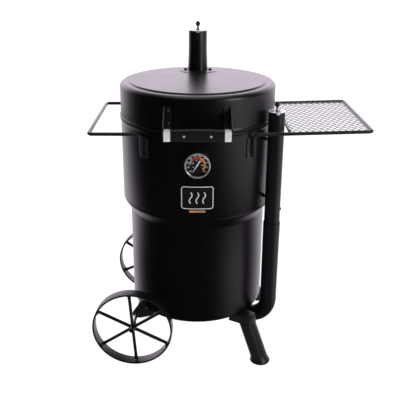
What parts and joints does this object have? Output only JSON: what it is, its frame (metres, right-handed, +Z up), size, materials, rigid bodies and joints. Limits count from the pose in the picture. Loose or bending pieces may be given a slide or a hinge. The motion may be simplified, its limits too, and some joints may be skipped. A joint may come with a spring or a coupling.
{
  "type": "drum smoker",
  "caption": "Upright charcoal drum smoker with a hinged lid, chimney, side air pipe with damper, spoked wheels, splayed legs, side shelf, lifting handle and a gauge.",
  "frame": {"origin": "on the ground, at the centre of the whole object's bounding box", "axes": "+Z up, -Y towards the front (gauge and lid handle), +X towards the side shelf"},
  "size_m": [0.9572, 0.6502, 1.1894],
  "materials": {
    "black_coat": "satin black powder coat",
    "pipe_coat": "satin black powder coat",
    "steel": "brushed",
    "dark_steel": "dark, slightly rough",
    "chrome": "polished",
    "mesh_steel": "light grey coated expanded metal",
    "black_plastic": "matt black",
    "dial_black": "matt black printed dial",
    "needle_paint": "white paint",
    "glass": "clear",
    "seal_felt": "dark heat-proof felt",
    "enamel": "glossy black enamel",
    "badge_metal": "aged metal plaque"
  },
  "bodies": {
    "drum": {"drum_upper_shell": "black_coat", "drum_lower_shell": "black_coat", "drum_floor": "black_coat", "hinge_drum_leaf": "black_coat", "side_handle_rod": "black_coat", "side_handle_plate_front": "black_coat", "side_handle_plate_rear": "black_coat", "shelf_frame": "black_coat", "shelf_crossbar": "black_coat", "shelf_plate_front": "black_coat", "shelf_plate_rear": "black_coat", "leg_front": "black_coat", "leg_rear": "black_coat", "leg_front_bracket": "black_coat", "leg_rear_bracket": "black_coat", "axle_bracket_front": "black_coat", "axle_bracket_rear": "black_coat", "intake_pipe_upper": "pipe_coat", "intake_pipe_lower": "pipe_coat", "hinge_pin": "steel", "axle_cap_front": "steel", "axle_cap_rear": "steel", "intake_standoff_top": "dark_steel", "intake_standoff_bottom": "dark_steel", "axle": "dark_steel", "grate_hanger_1": "dark_steel", "grate_hanger_2": "dark_steel", "grate_hanger_3": "dark_steel", "charcoal_basket": "dark_steel", "gauge_case": "chrome", "intake_damper_spring": "chrome", "shelf_mesh": "mesh_steel", "intake_damper_knob": "black_plastic", "leg_front_foot": "black_plastic", "leg_rear_foot": "black_plastic", "gauge_dial": "dial_black", "gauge_lens": "glass", "lid_seal": "seal_felt", "cooking_grate": "enamel", "ash_pan": "enamel", "badge_plate": "badge_metal"},
    "lid": {"lid_shell": "black_coat", "chimney_flange": "black_coat", "chimney_tube": "pipe_coat", "chimney_damper_knob": "black_plastic", "chimney_damper_spring": "chrome", "lid_handle_bar": "black_plastic", "lid_handle_ferrule_left": "steel", "lid_handle_ferrule_right": "steel", "lid_handle_bracket_left": "black_coat", "lid_handle_bracket_right": "black_coat", "hinge_lid_leaf": "black_coat"},
    "chimney_damper_disc": {"chimney_damper": "dark_steel"},
    "intake_damper_disc": {"intake_damper": "dark_steel"},
    "needle": {"gauge_needle": "needle_paint"},
    "wheel_front": {"wheel_front_rim": "black_coat", "wheel_front_spokes": "black_coat"},
    "wheel_rear": {"wheel_rear_rim": "black_coat", "wheel_rear_spokes": "black_coat"}
  },
  "joints": [
    {"name": "lid_hinge", "type": "hinge", "parent": "drum", "child": "lid", "pos_m": [-0.10012, 0.31709, 0.884], "axis": [-1, 0, 0], "range_deg": [0, 85]},
    {"name": "chimney_damper_turn", "type": "hinge", "parent": "lid", "child": "chimney_damper_disc", "pos_m": [-0.10012, 0.18809, 1.1549], "axis": [0, 0, 1], "range_deg": [0, 60]},
    {"name": "intake_damper_turn", "type": "hinge", "parent": "drum", "child": "intake_damper_disc", "pos_m": [0.16389, -0.13654, 0.93], "axis": [0, 0, 1], "range_deg": [0, 60]},
    {"name": "gauge_needle_turn", "type": "hinge", "parent": "drum", "child": "needle", "pos_m": [-0.10012, -0.26071, 0.7837], "axis": [0, 1, 0], "range_deg": [0, 284]},
    {"name": "wheel_front_spin", "type": "hinge", "parent": "drum", "child": "wheel_front", "pos_m": [-0.33269, -0.22178, 0.145], "axis": [-0.0698, -0.9976, 0], "continuous": true},
    {"name": "wheel_rear_spin", "type": "hinge", "parent": "drum", "child": "wheel_rear", "pos_m": [-0.29649, 0.29596, 0.145], "axis": [0.0698, 0.9976, 0], "continuous": true}
  ]
}
